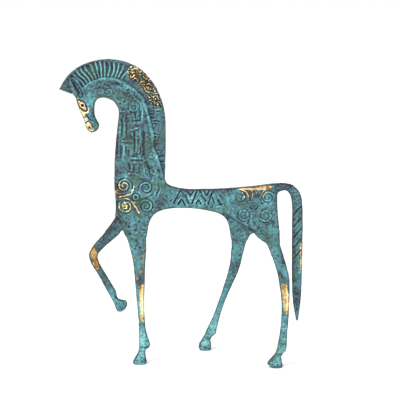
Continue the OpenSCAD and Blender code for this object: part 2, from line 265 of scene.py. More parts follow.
def earLeaf(hand):
    # a pointed leaf laid over the crest; hand -1 is the near side
    axis = bent(head["ear"])
    sides, foot = head["earSides"], head["earFoot"]
    bm = bmesh.new()
    rows = []
    for i, (x, z) in enumerate(axis):
        ahead = axis[min(i + 1, len(axis) - 1)] - axis[max(i - 1, 0)]
        across = np.array([-ahead[1], ahead[0]]) / np.hypot(*ahead)
        share = i / (len(axis) - 1)
        half = head["earWidth"] / 2 * (0.12 + math.sin(math.pi * (0.12 + 0.72 * share)) ** 0.8)
        row = []
        for k in range(sides):
            turn = 2 * math.pi * k / sides
            side = half * math.cos(turn)
            bulge = math.copysign(abs(math.sin(turn)) ** 0.45, math.sin(turn))     # flat on top
            rise = hand * (foot + (head["earRise"] - foot) * (0.5 + 0.5 * bulge))
            row.append(bm.verts.new((x + across[0] * side, rise, z + across[1] * side)))
        rows.append(row)
    for a, b in zip(rows, rows[1:]):
        for k in range(sides):
            bm.faces.new((a[k], a[k - 1], b[k - 1], b[k]))
    bm.faces.new(rows[0])
    bm.faces.new(list(reversed(rows[-1])))
    bmesh.ops.scale(bm, vec=(mm,) * 3, verts=bm.verts)
    bmesh.ops.recalc_face_normals(bm, faces=bm.faces)
    mesh = bpy.data.meshes.new("ear")
    bm.to_mesh(mesh)
    bm.free()
    return mesh


# The neck's ridge, roundels and stepped key
neck = {
    "ridge": [(-14, 138), (-16.4, 146), (-19, 153), (-21, 159), (-20.8, 166), (-22.4, 174), (-25, 183),
              (-28.4, 193), (-33, 198.4), (-40, 203.4), (-47, 206.6), (-54, 208), (-60, 207.4),
              (-66, 205)],
    "innerLine": [(-28.5, 189), (-26, 180), (-24.4, 172), (-24, 164), (-23, 157)],
    "roundel": (-34.6, 187.4, 4.3),
    "rings": [(-58.2, 198.4, 1.8), (-52.6, 197.8, 2.1), (-26.8, 183.4, 1.8), (-23, 164, 1.7),
              (-22, 152, 1.7), (-20.8, 140.4, 2)],
    "rosette": (-62, 203.8),
    "pits": [(-49.6, 204.2), (-43.2, 202.4), (-42, 197.6), (-46, 193.6), (-39, 199.5), (-37.5, 195.2),
             (-55.5, 203.5), (-44.4, 189.6), (-41.4, 191.2), (-32.6, 194.6)],
    "keyRidges": [
        [(-45, 184.2), (-38.4, 184.2), (-37, 186)],
        [(-41.6, 181), (-41.6, 165.5)],
        [(-44.6, 172), (-45.4, 160), (-46, 152)],
        [(-40, 175.4), (-29, 175.6), (-28.2, 186)],
        [(-39.4, 169.6), (-30.2, 172.6), (-30.2, 160), (-31, 157.6)],
        [(-32.8, 165), (-32.8, 155)],
        [(-42, 152), (-42, 159.6), (-36.4, 159.6)],
        [(-43.6, 162.6), (-35.4, 162.6), (-35, 158)],
        [(-36.4, 150), (-29, 150)],
        [(-36.6, 141), (-36.6, 147), (-28.6, 147), (-27.2, 140)],
        [(-41.4, 138.6), (-33, 138.8), (-29, 136)]],
    "keyGrooves": [
        [(-43.4, 179), (-43.4, 166)],
        [(-36.6, 182), (-40, 182), (-40, 167), (-39, 164.4)],
        [(-30.2, 184.4), (-30.2, 177.4), (-34.4, 177.4)],
        [(-34.4, 169.6), (-34.4, 155)],
        [(-30, 158), (-30, 153), (-35, 153)],
        [(-36.4, 151.6), (-32.4, 151.6)],
        [(-36, 148.4), (-28.6, 148.4)],
        [(-40.4, 158), (-40.4, 153.6)],
        [(-34.8, 145), (-34.8, 141)],
        [(-30.8, 145.4), (-30.8, 140.4)],
        [(-44, 157), (-44, 150)]],
    "wideGrooves": [
        [(-27.6, 169.4), (-27.6, 153)],
        [(-33.6, 183.4), (-33.6, 180)],
        [(-38.6, 145.6), (-37.8, 143.2)],
        [(-39, 155.4), (-38.6, 152)],
        [(-37.4, 166.6), (-36.6, 165)],
        [(-26, 147), (-24, 143)]],
    "strokes": {               # width and height or depth, mm
        "ridge": (4.4, 0.6), "innerLine": (0.9, 0.3), "roundel": (1.2, 0.5), "ring": (1, 0.4),
        "ringGroove": (0.8, 0.3), "rosette": (0.9, 0.3), "pitRim": (0.8, 0.25),
        "keyRidges": (1.7, 0.5), "keyGrooves": (1.8, 0.6), "wideGrooves": (3.4, 0.7)},
    "dots": {"ring": (0.6, 0.35), "petal": (0.9, 0.35), "pit": (1.2, 0.5)},     # radius and height
    "petalsOut": 2,            # mm from the rosette's middle
    "rosetteRadius": 3.4,
    "pitRadius": 1.5,
}


def drawNeck(raised, sunk, places):
    stroke, spot = neck["strokes"], neck["dots"]
    draw(raised, places, bent(neck["ridge"]), *stroke["ridge"])
    draw(sunk, places, bent(neck["innerLine"]), *stroke["innerLine"])
    draw(sunk, places, arc(*neck["roundel"], 0, 360), *stroke["roundel"])
    for x, z, radius in neck["rings"]:
        draw(raised, places, arc(x, z, radius, 0, 360), *stroke["ring"])
        dot(raised, places, x, z, *spot["ring"])
        draw(sunk, places, arc(x, z, radius + 0.9, 0, 360), *stroke["ringGroove"])
    x, z = neck["rosette"]
    for turn in np.radians(range(0, 360, 60)):
        out = neck["petalsOut"]
        dot(raised, places, x + out * math.cos(turn), z + out * math.sin(turn), *spot["petal"])
    draw(sunk, places, arc(x, z, neck["rosetteRadius"], 0, 360), *stroke["rosette"])
    for x, z in neck["pits"]:
        dot(sunk, places, x, z, *spot["pit"])
        draw(raised, places, arc(x, z, neck["pitRadius"], 0, 300), *stroke["pitRim"])
    for name, layer in (("keyRidges", raised), ("keyGrooves", sunk), ("wideGrooves", sunk)):
        for line in neck[name]:
            draw(layer, places, line, *stroke[name])


# The shoulder's four running spirals. A coil is x, z, radius, turns, end angle and hand
shoulder = {
    "coils": [(-42, 130, 5, 2.2, -20, -1), (-26.1, 128.4, 4.4, 2, 200, 1),
              (-41, 114.8, 5.1, 2, 150, -1), (-26.1, 114.8, 4.6, 2, 120, 1)],
    "bands": [
        [(-35.2, 129), (-36.6, 124.6), (-41, 122.6), (-45.4, 121.6)],
        [(-49, 127.4), (-46.6, 124.4), (-41, 124.2)],
        [(-48.8, 127), (-47.4, 119.6), (-45, 120.4)],
        [(-46.4, 116), (-44.6, 119.6), (-40.6, 120.6), (-36.8, 118.4), (-33.6, 114), (-31.2, 109.6)],
        [(-30.4, 132), (-31.4, 127), (-29.6, 123.4), (-24.4, 122.2)],
        [(-16, 131), (-15.4, 127), (-17.4, 123.2)]],
    "grooves": [
        [(-31.2, 116.4), (-29.6, 119.6), (-26, 121), (-21.4, 123.6)],
        [(-17.2, 131.4), (-16.8, 127), (-19, 122.6)],
        [(-29.8, 134.2), (-26, 134.6), (-22, 132.4)],
        [(-49.6, 119), (-46.8, 111), (-44, 106)]],
    "boss": (-33.5, 121.5, 2.9),
    "grooveOut": 1.2,          # mm from a coil's ridge to the groove outside it
    "strokes": {               # width and height or depth, mm
        "coil": (1.3, 0.5), "coilGroove": (1.4, 0.8), "bands": (1.3, 0.5), "grooves": (1.8, 0.5),
        "boss": (1, 0.5)},
}


def drawShoulder(raised, sunk, places):
    stroke = shoulder["strokes"]
    drawCoils(raised, sunk, places, shoulder)
    for line in shoulder["bands"]:
        draw(raised, places, bent(line), *stroke["bands"])
    for line in shoulder["grooves"]:
        draw(sunk, places, bent(line), *stroke["grooves"])
    draw(sunk, places, arc(*shoulder["boss"], 0, 360), *stroke["boss"])


# The barrel's zigzag band
barrel = {
    "slashes": [
        [(-1.6, 125.6), (-6, 117.2)], [(2.4, 122.4), (5, 117.4)], [(10.8, 125.2), (7.2, 116.8)],
        [(14, 122.6), (17.4, 118.6)], [(21.8, 124.4), (19.2, 116.4)],
        [(-3, 116), (-0.6, 119.8)], [(0.4, 119.6), (2.2, 115.8)],
        [(4.4, 125.4), (6.4, 122.4), (8.4, 125.6)],
        [(10.2, 116.4), (11.8, 119.4)], [(12.6, 119.2), (14, 116.4)],
        [(15.8, 126.2), (18, 122.8), (20, 126)],
        [(22.2, 121), (23.4, 117.6)]],
    "ridges": [
        [(-4, 116), (-0.4, 121.6), (3.2, 115.8)],
        [(0.4, 126), (6.4, 120.4), (9.6, 126.4)],
        [(9, 116.2), (11.8, 121), (15, 116)],
        [(11.6, 126), (17, 119), (18.4, 115.4)],
        [(14.6, 126.4), (18, 121.2), (21.4, 126.4)],
        [(24.4, 125.4), (27.4, 120.6), (30.2, 115.4), (25, 114)]],
    "pit": [(26.6, 118.8), (27.6, 117), (28.8, 115.8)],
    "strokes": {"ridges": (1.3, 0.5), "slashes": (1.8, 1.1), "pit": (3.4, 1.2)},
}


def drawBarrel(raised, sunk, places):
    for line in barrel["ridges"]:
        draw(raised, places, line, *barrel["strokes"]["ridges"])
    for line in barrel["slashes"]:
        draw(sunk, places, line, *barrel["strokes"]["slashes"])
    draw(sunk, places, barrel["pit"], *barrel["strokes"]["pit"])


# The rump's spirals, and the runs that drip between them from the gold band
rump = {
    "coils": [(42.2, 121.6, 3.6, 1.6, 90, 1), (62.6, 121.4, 4.1, 2, 30, -1),
              (45.2, 108.8, 4.6, 2, -30, 1), (60.9, 108.2, 5, 2, 200, -1)],
    "runs": [
        [(43, 127), (46.6, 125.4), (48.2, 122), (47.4, 119)],
        [(50.6, 127), (51.4, 123.6), (50.2, 118.6)],
        [(53.4, 127.4), (54.6, 121.8), (57.2, 117.4)],
        [(60.4, 127.4), (58.4, 124), (58.6, 120.6)]],
    "gold": [(43, 127.9), (52, 127.6), (60, 127.6), (66, 129)],
    "slot": [(49.4, 109), (49, 105), (47.8, 101.8)],
    "creases": [
        [(39.4, 104.2), (44, 101.4), (50, 97.8), (54, 93.4)],
        [(56, 103), (56.4, 98), (59.6, 93.6)],
        [(69, 127), (74, 125.4), (77, 124)]],
    "boss": (52.5, 115, 2.5),
    "grooveOut": 1.1,
    "strokes": {
        "coil": (1.2, 0.4), "coilGroove": (1, 0.5), "runs": (1.2, 0.45), "gold": (2.8, 0.4),
        "slot": (2, 0.7), "creases": (1.1, 0.4), "boss": (0.9, 0.4)},
}


def drawRump(raised, sunk, places):
    stroke = rump["strokes"]
    drawCoils(raised, sunk, places, rump)
    for line in rump["runs"]:
        draw(raised, places, bent(line), *stroke["runs"])
    draw(raised, places, bent(rump["gold"]), *stroke["gold"])
    draw(sunk, places, bent(rump["slot"]), *stroke["slot"])
    for line in rump["creases"]:
        draw(sunk, places, bent(line), *stroke["creases"])
    draw(sunk, places, arc(*rump["boss"], 0, 360), *stroke["boss"])


# Marks on the near side of the legs
legs = {
    "pits": [(-31.4, 103.2, 1.6), (-38.8, 99.6, 1.8), (-33.6, 97.2, 1.9), (-38, 94.2, 1.7),
             (-33.4, 89.8, 1.9), (-30.6, 84.4, 1.4), (-34.4, 83.6, 1.3)],
    "rings": [(-28, 97.6, 1.7), (-29.2, 93.2, 1.6), (-30, 88.6, 1.2)],
    "flecks": [(-35.2, 78, 1.4), (-28.2, 82.6, 1.3), (-28, 78.4, 1.7), (-30, 67, 2.6), (-32.5, 62, 2),
               (-28.7, 73, 1.2), (-28.4, 75.2, 1.1)],
    "bands": [(12.6, -27), (9.4, -29.4), (10, 70), (17, 72.6), (11.4, 19.4)],     # z, x
    "bandReach": 6,
    "pitDepth": 0.9,
    "strokes": {"ring": (0.9, 0.35), "band": (1.2, 0.5)},
}


def drawLegs(raised, sunk, places):
    for x, z, radius in legs["pits"]:
        dot(sunk, places, x, z, radius, legs["pitDepth"])
    for x, z, radius in legs["rings"]:
        draw(raised, places, arc(x, z, radius, 0, 360), *legs["strokes"]["ring"])
    for z, x in legs["bands"]:
        reach = legs["bandReach"]
        draw(sunk, places, [(x - reach, z), (x + reach, z)], *legs["strokes"]["band"])


tail = {
    "heights": [112, 103, 95, 87, 79],      # of the slanting cuts
    "waves": [(86.4, 66), (83, 63.6), (85.8, 60.6), (82.8, 57.6), (85.6, 54.6), (83.4, 52)],
    "band": 45.6,
    "crease": [(72, 126.4), (76.6, 126.4), (80.4, 123.4)],
    "cut": [(81.6, -3.6), (84, -0.6), (87, 3)],          # x, and height above the stroke's
    "swell": [(81.2, -1.4), (84, 2), (86.8, 5.4)],
    "sides": (80, 89),
    "strokes": {
        "cut": (1.9, 0.9), "swell": (1.4, 0.3), "waves": (1.3, 0.35), "band": (1.1, 0.3),
        "crease": (1.2, 0.4)},
}


def drawTail(raised, sunk, places):
    stroke = tail["strokes"]
    for height in tail["heights"]:
        for name, layer in (("cut", sunk), ("swell", raised)):
            draw(layer, places, [(x, height + z) for x, z in tail[name]], *stroke[name])
    draw(raised, places, bent(tail["waves"]), *stroke["waves"])
    draw(sunk, places, [(x, tail["band"]) for x in tail["sides"]], *stroke["band"])
    draw(sunk, places, bent(tail["crease"]), *stroke["crease"])


# Darker strokes, partly the dark oxide where the crust stayed thin and partly painted shade along the
# neck's and chest's edges, over the raised leg and at the foot of each hoof: the line, its width in mm
# and how strongly
oxideAndShadeLines = [
    ([(-46.5, 162), (-48, 142), (-47, 112)], 9, 0.5),
    ([(-40, 152), (-38, 140)], 9, 0.3),
    ([(-36, 121), (-32, 112)], 8, 0.4),
    ([(-48, 104), (-56, 92), (-64, 82)], 14, 0.65),
    ([(-66, 78), (-58, 52)], 9, 0.6),
    ([(-27.6, 170), (-27.6, 150), (-24, 142)], 6, 0.5),
    ([(-40, 183), (-40, 165), (-36, 164)], 5, 0.4),
    ([(0, 126), (20, 126.4), (34, 127)], 5, 0.5),
    ([(66, 127), (76, 127.6), (82, 122)], 6, 0.3),
    ([(82, 112), (82, 60)], 5, 0.5),
    ([(84, 50), (85, 30)], 9, 0.5),
    ([(-62, 205), (-52, 206)], 5, 0.3),
    ([(40, 118), (46, 116)], 7, 0.3),
    ([(-78.6, 206), (-76, 201.4), (-73, 196)], 3, 0.5),
    ([(-73, 190.2), (-70, 186.2)], 2.6, 0.9),
    ([(-62, 201), (-52, 204), (-44, 200), (-38, 193)], 6, 0.35),
    ([(-30.6, 61), (-29.8, 55)], 5, 0.6),
    ([(-28, 33), (-27.6, 27)], 5, 0.5),
    ([(74.4, 62), (75, 57)], 5, 0.5),
    ([(76.6, 40), (76.4, 33)], 5, 0.6),
    ([(-68, 88), (-64, 82)], 5, 0.5),
    ([(-29.4, 2.6), (-26.6, 3)], 2.6, 0.8),
    ([(-25, 13.6), (-26.4, 11.8)], 2.2, 0.9),
    ([(67, 2), (74, 1.6)], 2.4, 0.7),
    ([(70.6, 9), (74, 10)], 2.2, 0.7),
    ([(14, 3.4), (20, 2.6)], 2.8, 0.7),
    ([(17.4, 9.6), (21, 9.8)], 2, 0.8),
    ([(-49.4, 44.6), (-45, 42.6)], 2.4, 0.6),
    ([(-43.6, 40), (-42, 37.6)], 2.2, 0.7),
    ([(-42, 130), (-43, 123), (-41, 115)], 9, 0.45),
    ([(45, 125), (60, 124)], 5, 0.4),
]

# Where handling has worn the patina through to metal: the line, its width in mm, how strongly, and
# how much of the flat between the raised lines is worn too
rubbed = {
    "face": ([(-75.8, 190), (-73.6, 184), (-71, 176), (-68.6, 171)], 12.6, 1.1, 0.52),
    "eye": ([(-73, 189), (-69.6, 185)], 9, 1.2, 0.58),
    "muzzle": ([(-69.6, 175), (-67, 171)], 11, 1.2, 0.54),
    "chestWeb": ([(-48, 125.6), (-45.6, 122.4)], 8, 1.1, 0.5),
    "upperCoil": ([(-43, 129.6), (-42.6, 129.2)], 17.4, 1.15, 0.1),
    "upperArc": ([(-35.4, 128), (-37, 124.4), (-41, 122.6)], 7, 1.1, 0.16),
    "lowerCoil": ([(-41.6, 115), (-41.2, 114.8)], 18.6, 1.3, 0.08),
    "lowerArc": ([(-40, 120.6), (-35, 117), (-31.6, 110.4)], 7, 1, 0.16),
    "rump": ([(43.6, 128), (54, 128), (63, 129.2)], 7, 1.3, 0.5),
    "rumpRuns": ([(47, 124), (52, 124), (58.6, 124)], 13, 1.3, 0.1),
    "foreShin": ([(-29.2, 56), (-29, 44), (-28.2, 32)], 7, 1.15, 0.7),
    "foreFlecks": ([(-35, 86), (-34, 76), (-31, 62)], 4, 0.6, 0.3),
    "raisedKnee": ([(-67.4, 84), (-64.4, 76), (-62.8, 69)], 9, 1.2, 0.75),
    "hindShin": ([(74.4, 57), (75.6, 48), (76.6, 40)], 8, 1.2, 0.7),
    "tailEdge": ([(87.4, 86), (87.8, 76), (87.4, 68)], 5, 1.1, 0.5),
}


def rubOf(places, stand, fuzz):
    # what stands proud wears first, with a ragged rim
    wear = np.zeros(len(places))
    for line, width, strength, flat in rubbed.values():
        here = np.zeros(len(places))
        draw(here, places, line, width, strength)
        wear = np.maximum(wear, here * (flat + 1.7 * stand + 0.3 * fuzz))
    return steps(0.28, 0.5, wear)


# The body casting: both sides, four legs and the tail in one skin, cut again at the real joints
casting = {
    "grain": 0.36,             # mm between points of the skin
    "soften": 6,               # rounds that take the sharpness off the edges
    "blend": 45,               # more rounds round each joint
    "blendReach": 5,           # mm that they reach beyond a joint's box
    "pitting": 0.1,            # mm, how rough the cast skin is
    "curl": 0.24,              # mm, depth of the curling marks all over the wax
    "speck": 0.2,              # mm, depth of the specks on the shanks and hooves
    "marks": {                 # mm, how big each kind of mark is
        "coarse": 4.5, "fine": 1.7, "curls": 2.5, "curlPatches": 8, "blots": 2.8, "fading": 6,
        "specks": 1.3},
    "curlsThin": (80, 100),    # heights between which the curls thin out downwards
    "specksThin": (25, 75),    # and the specks upwards
    "paler": (20, 70),         # and the crust gets paler downwards
    "wornRound": 96,           # below this height a worn patch goes round the leg
    "innerGap": 0.15,          # mm that bare inner faces keep off the middle plane
    "joints": {                # the joint's middle, the cut's direction, half of the box round it
        "near_foreleg": ((-33, -2, 92), (0, 0, 1), (14, 4, 3)),
        "raised_foreleg": ((-51, 2, 95), (0, 0, 1), (9, 3, 3)),
        "near_hind_leg": ((67, -2, 87.5), (0, 0, 1), (13, 4, 3)),
        "far_hind_leg": ((42, 2, 89), (0, 0, 1), (12, 4, 3)),
        "tail": ((70.2, 0, 127.8), (1, 0, 0), (3, 6, 8)),
    },
}


def blendJoints(points, edges):
    share = np.zeros(len(points))
    for middle, across, half in casting["joints"].values():
        size = np.array(half, float) + np.array(across) * casting["blendReach"]
        gap = np.abs(points - np.array(middle, float)) / size
        share = np.maximum(share, 1 - steps(0.6, 1.1, gap.max(1)))
    return eased(points, edges, casting["blend"], 0.6 * share[:, None])


def bodyRelief(places, near):
    # how high everything that is drawn stands
    raised, sunk, legRaised, legSunk = np.zeros((4, len(places)))
    for drawPart in (drawHead, drawNeck, drawShoulder, drawBarrel, drawRump, drawTail):
        drawPart(raised, sunk, places)
    drawLegs(legRaised, legSunk, places)
    return np.maximum(raised, legRaised * near) - np.maximum(sunk, legSunk * near)


def bodySkin(points, places, facing, coarse, fine):
    # the casting's own roughness, less where handling has polished it
    marks = casting["marks"]
    curl = 1 - steps(0.02, 0.3, np.abs(grainOf(points, marks["curls"], 60)))
    curl *= steps(-0.3, 0.15, grainOf(points, marks["curlPatches"], 80))
    curl *= 0.25 + 0.75 * steps(*casting["curlsThin"], points[:, 2])
    blots = steps(0.22, 0.42, grainOf(points, marks["blots"], 120))
    specks = steps(0.2, 0.4, grainOf(points, marks["specks"], 150))
    specks *= 1 - steps(*casting["specksThin"], points[:, 2])
    polished = np.zeros(len(points))
    for line, width, _, flat in rubbed.values():
        if flat > 0.4:
            draw(polished, places, line, 1.3 * width, 1)
    skin = casting["pitting"] * (0.8 * coarse + 1.2 * fine) - casting["speck"] * specks
    skin -= casting["curl"] * np.maximum(curl, blots) * (0.4 + 0.6 * facing)
    return skin * (1 - 0.75 * steps(0, 0.5, polished))


def castBody():
    names = ["near_side", "far_side"] + list(casting["joints"])
    piece = joined("body", [nodes[name].data for name in names] + [earLeaf(-1), earLeaf(1)])
    mesh = recast(piece, casting["grain"])
    points, edges = readPoints(mesh), readEdges(mesh)
    points = blendJoints(eased(points, edges, casting["soften"]), edges)
    writePoints(mesh, points)
    normals = readNormals(mesh)
    outward = np.abs(normals[:, 1])
    facing = steps(0.45, 0.85, outward)
    places = points[:, [0, 2]]
    near = points[:, 1] < 0
    marks = casting["marks"]
    coarse, fine = grainOf(points, marks["coarse"]), grainOf(points, marks["fine"], 40)
    # the wax lost its sharpness in places
    faded = 0.78 + 0.5 * grainOf(points, marks["fading"], 200)
    height = bodyRelief(places, near) * facing * faded
    skin = bodySkin(points, places, facing, coarse, fine)
    points = points + normals * (height + skin)[:, None]
    # the two sides are parted at the middle plane, so bare inner faces keep off it
    inner = (np.abs(points[:, 1]) < 0.9) & (outward > 0.35)
    side = -np.sign(normals[:, 1])
    points[:, 1] = np.where(
        inner, side * np.maximum(points[:, 1] * side, casting["innerGap"]), points[:, 1])
    writePoints(mesh, points)
    # painted shade and dark oxide along the listed strokes, taken off the tone below
    oxideAndShade = np.zeros(len(points))
    for line, width, strength in oxideAndShadeLines:
        draw(oxideAndShade, places, bent(line), 1.6 * width, strength)
    level = height + 1.2 * skin
    stand = level - eased(level, edges, 30)
    tone = 0.51 + np.where(stand > 0, 0.75, 1.8) * stand + 0.12 * height - 0.34 * oxideAndShade
    tone += 0.24 * (1 - steps(*casting["paler"], points[:, 2]))
    wear = rubOf(places, stand, fine + 0.8 * coarse)
    wear *= np.where(points[:, 2] < casting["wornRound"], 1, steps(0.2, 0.6, outward))
    copper = np.zeros(len(points))
    for x, z, size in legs["flecks"]:
        draw(copper, places, [(x - 0.4, z - 0.3), (x + 0.4, z + 0.6)], size, 1.4)
    paint(mesh, "relief", tone)
    # the rims that turn away from the sides get darker: partly bare oxide, partly painted shade where
    # they fall away from the light
    paint(mesh, "edge", 1 - facing)
    paint(mesh, "rubbed", wear)
    paint(mesh, "copper", near * steps(0.3, 0.7, copper + 0.4 * fine))
    return piece


def cutJoints(piece):
    # the body first, then the legs and the tail
    bm = bmesh.new()
    bm.from_mesh(piece.data)
    for middle, across, half in casting["joints"].values():
        faces = [
            face for face in bm.faces
            if all(abs(face.verts[0].co[i] - middle[i]) < half[i] for i in range(3))]
        around = {item for face in faces for item in (*face.verts, *face.edges)}
        cut = bmesh.ops.bisect_plane(
            bm, geom=faces + list(around), plane_co=middle, plane_no=across)
        seam = [item for item in cut["geom_cut"] if isinstance(item, bmesh.types.BMEdge)]
        bmesh.ops.split_edges(bm, edges=seam)
    bm.to_mesh(piece.data)
    bm.free()
    bpy.ops.object.select_all(action="DESELECT")
    piece.select_set(True)
    bpy.context.view_layer.objects.active = piece
    bpy.ops.mesh.separate(type="LOOSE")
    count = len(casting["joints"]) + 1
    parts = sorted(bpy.context.selected_objects, key=lambda part: -len(part.data.vertices))
    for scrap in parts[count:]:
        bpy.data.objects.remove(scrap)
    return parts[:count]


def finishMesh(piece, name, halves=None):
    bm = bmesh.new()
    bm.from_mesh(piece.data)
    rim = [corner for corner in bm.verts if corner.is_boundary]
    bmesh.ops.remove_doubles(bm, verts=rim, dist=tolerance / 10)     # closes slits that part nothing
    for middle, across, _ in casting["joints"].values():
        closeCut(bm, across.index(1), middle[across.index(1)])
    if halves:
        # only the half on that side of the middle plane stays
        bmesh.ops.bisect_plane(
            bm, geom=list(bm.verts) + list(bm.edges) + list(bm.faces), plane_co=(0, 0, 0),
            plane_no=(0, halves, 0), clear_inner=True)
        closeCut(bm, 1, 0)
    bmesh.ops.recalc_face_normals(bm, faces=bm.faces)
    bmesh.ops.scale(bm, vec=(mm,) * 3, verts=bm.verts)
    openEdges = sum(not edge.is_manifold for edge in bm.edges)
    mesh = bpy.data.meshes.new(name)
    bm.to_mesh(mesh)
    bm.free()
    mesh.polygons.foreach_set("use_smooth", [True] * len(mesh.polygons))
    mesh.set_sharp_from_angle(angle=math.radians(50))
    print(name, len(mesh.polygons), "faces,", openEdges, "open edges")
    return addPiece(name, mesh)


# The crest: radial ribs over the poll, worn locks behind, scribbled hair down the neck
crest = {
    "grain": 0.32,                 # mm between points of the skin
    "soften": 4,
    "centre": (-55, 190),
    "ribs": (56, 160, 6.9),        # first and last angle of the ribs and the step between them
    "ribReach": 30.2,              # mm from the centre to their outer ends
    "plump": 0.8,                  # mm, how far the hair stands off the plate
    "locks": ([(-34.4, 212), (-28, 207), (-21.6, 199.4), (-17.4, 191)], 14.6),     # line and width
    "lockStep": 2.3,               # mm between worn locks
    "hairStep": 2.4,               # mm between the lines down the neck
    "tip": (150, 166),             # angles between which the forelock's curls deepen
    "comb": [[(-19.4, 150.6), (-13.4, 151.6)], [(-19.6, 150.8), (-19, 143)],
             [(-18.4, 146.8), (-13.4, 147.4)], [(-18, 142.4), (-13.8, 142)]],
    "combStroke": (1.5, 0.8),      # width and depth, mm
    "heights": {"rib": 0.55, "ribGap": 0.3, "lock": 0.45, "hair": 0.8, "curl": 0.22, "tipCurl": 0.3},
}


def crestRibs(angle, radius, coarse, swing):
    # the ribs themselves, the field they stand in, and how near its rim each point is
    first, last, step = crest["ribs"]
    turn = (angle - first + 2.6 * swing) / step
    gap = np.abs(turn - np.round(turn)) * np.radians(step) * radius
    field = steps(first - 4, first, angle) * (1 - steps(last - 24, last, angle + 8 * coarse))
    reach = crest["ribReach"] + 2.2 * np.abs(np.cos(np.radians(angle))) + 0.6 * swing
    field *= 1 - steps(reach - 1, reach + 0.6, radius)
    return (1 - steps(0.15, 1.15, gap)) * field, field, field * steps(reach - 2, reach, radius)


def crestHair(points, places):
    # where the worn locks are, their wave, and the short lines down the neck
    locks = np.zeros(len(points))
    draw(locks, places, bent(crest["locks"][0]), crest["locks"][1], 1)
    locks = steps(0.15, 0.4, locks)
    along = places @ np.array([0.45, 0.9])
    wave = np.sin(along * 2 * math.pi / crest["lockStep"] + 7 * grainOf(points, 3.2, 11)
                  + 3.4 * grainOf(points, 1.5, 5))
    x, z = places.T
    lines = np.sin(z * 2 * math.pi / crest["hairStep"] + 2.6 * grainOf(points, 2.4, 21))
    lines = np.minimum(lines, 0.2) * steps(-0.1, 0.3, grainOf(points, 2.6, 31))
    lines *= (1 - steps(188, 197, z)) * steps(137, 141, z) * (1 - 0.8 * steps(-17.5, -14.5, x))
    return locks, wave, lines * (1 - locks)


def castCrest():
    piece = joined("crest", [nodes["mane_crest"].data])
    mesh = recast(piece, crest["grain"])
    points, edges = readPoints(mesh), readEdges(mesh)
    points = eased(points, edges, crest["soften"])
    writePoints(mesh, points)
    normals = readNormals(mesh)
    facing = steps(0.55, 0.9, np.abs(normals[:, 1]))
    places = points[:, [0, 2]]
    out = places - np.array(crest["centre"], float)
    radius, angle = np.hypot(*out.T), np.degrees(np.arctan2(out[:, 1], out[:, 0]))
    coarse, fine, swing = grainOf(points, 4), grainOf(points, 1.5, 7), grainOf(points, 6, 3)
    ribs, field, rim = crestRibs(angle, radius, coarse, swing)
    locks, wave, hair = crestHair(points, places)
    curl = 1 - steps(0, 0.22, np.abs(grainOf(points, 2.6, 61)))
    tip = steps(*crest["tip"], angle)
    stand = crest["heights"]
    height = stand["rib"] * ribs - stand["ribGap"] * field * (1 - ribs)
    height += stand["lock"] * locks * wave + stand["hair"] * hair
    height -= (stand["curl"] + stand["tipCurl"] * tip) * curl * (1 - locks) * (1 - 0.6 * field)
    for line in crest["comb"]:
        mark = np.zeros(len(points))
        draw(mark, places, line, *crest["combStroke"])
        height -= mark
    height *= facing
    skin = 0.08 * (coarse + 1.3 * fine)
    plump = crest["plump"] * facing * (1 - 0.5 * field)
    writePoints(mesh, points + normals * (height + skin + plump)[:, None])
    level = height + 1.3 * skin
    proud = level - eased(level, edges, 25)
    tone = 0.48 + np.where(proud > 0, 0.7, 1.5) * proud + 0.15 * height
    tone -= 0.22 * (rim + 0.8 * locks) + 0.1 * tip
    paint(mesh, "relief", tone)
    # the crest's rims get darker too: partly bare oxide, partly painted shade where they fall away from
    # the light
    paint(mesh, "edge", 1 - facing)
    paint(mesh, "rubbed", locks * steps(0.16, 0.4, wave * 0.5 + 0.5 * fine + 0.3 * coarse) * facing)
    paint(mesh, "copper", np.zeros(len(points)))
    return piece


# Turned rivets, the same on both sides. The profile is of half a rivet, from its middle out: radius
# and distance along it in mm, and the tone, which says how much crust it keeps
rivets = {
    "neck_rivet": {
        "at": [(-34.5, 187)], "rub": 0,
        "profile": [(1.15, 0, 0), (1.15, 3.6, 0), (2.75, 3.6, 0.2), (2.85, 4.25, 0.6), (2.5, 4.7, 0.75),
                    (2.1, 4.66, 0.7), (1.75, 4.25, 0.1), (1.3, 4.12, 0.05), (1, 4.3, 0.4),
                    (0.75, 4.62, 0.7), (0.4, 4.75, 0.75), (0, 4.78, 0.7)]},
    "shoulder_rivet": {
        "at": [(-33.5, 121.5)], "rub": 0.3,
        "profile": [(1.15, 0, 0), (1.15, 3.6, 0), (2.2, 3.6, 0.1), (2.3, 4.3, 0.5), (1.95, 4.8, 0.8),
                    (1.5, 4.78, 0.7), (1.2, 4.4, 0.1), (0.7, 4.3, 0.05), (0, 4.3, 0.1)]},
    "rump_rivet": {
        "at": [(52.5, 115)], "rub": 0,
        "profile": [(1.15, 0, 0), (1.15, 3.6, 0), (2, 3.6, 0.1), (2.1, 4.2, 0.5), (1.85, 4.6, 0.6),
                    (1.3, 4.5, 0.3), (0.8, 4.4, 0.2), (0, 4.4, 0.25)]},
    "crest_rivets": {
        "at": [(-61.5, 204.3), (-43, 203.8), (-26.8, 182.5), (-22.8, 152.5)], "rub": 0,
        "profile": [(0.75, 0, 0), (0.75, 3.6, 0), (1.3, 3.6, 0.3), (1.4, 4.1, 0.5), (1.15, 4.4, 0.6),
                    (0.8, 4.4, 0.3), (0, 4.4, 0.4)]},
}


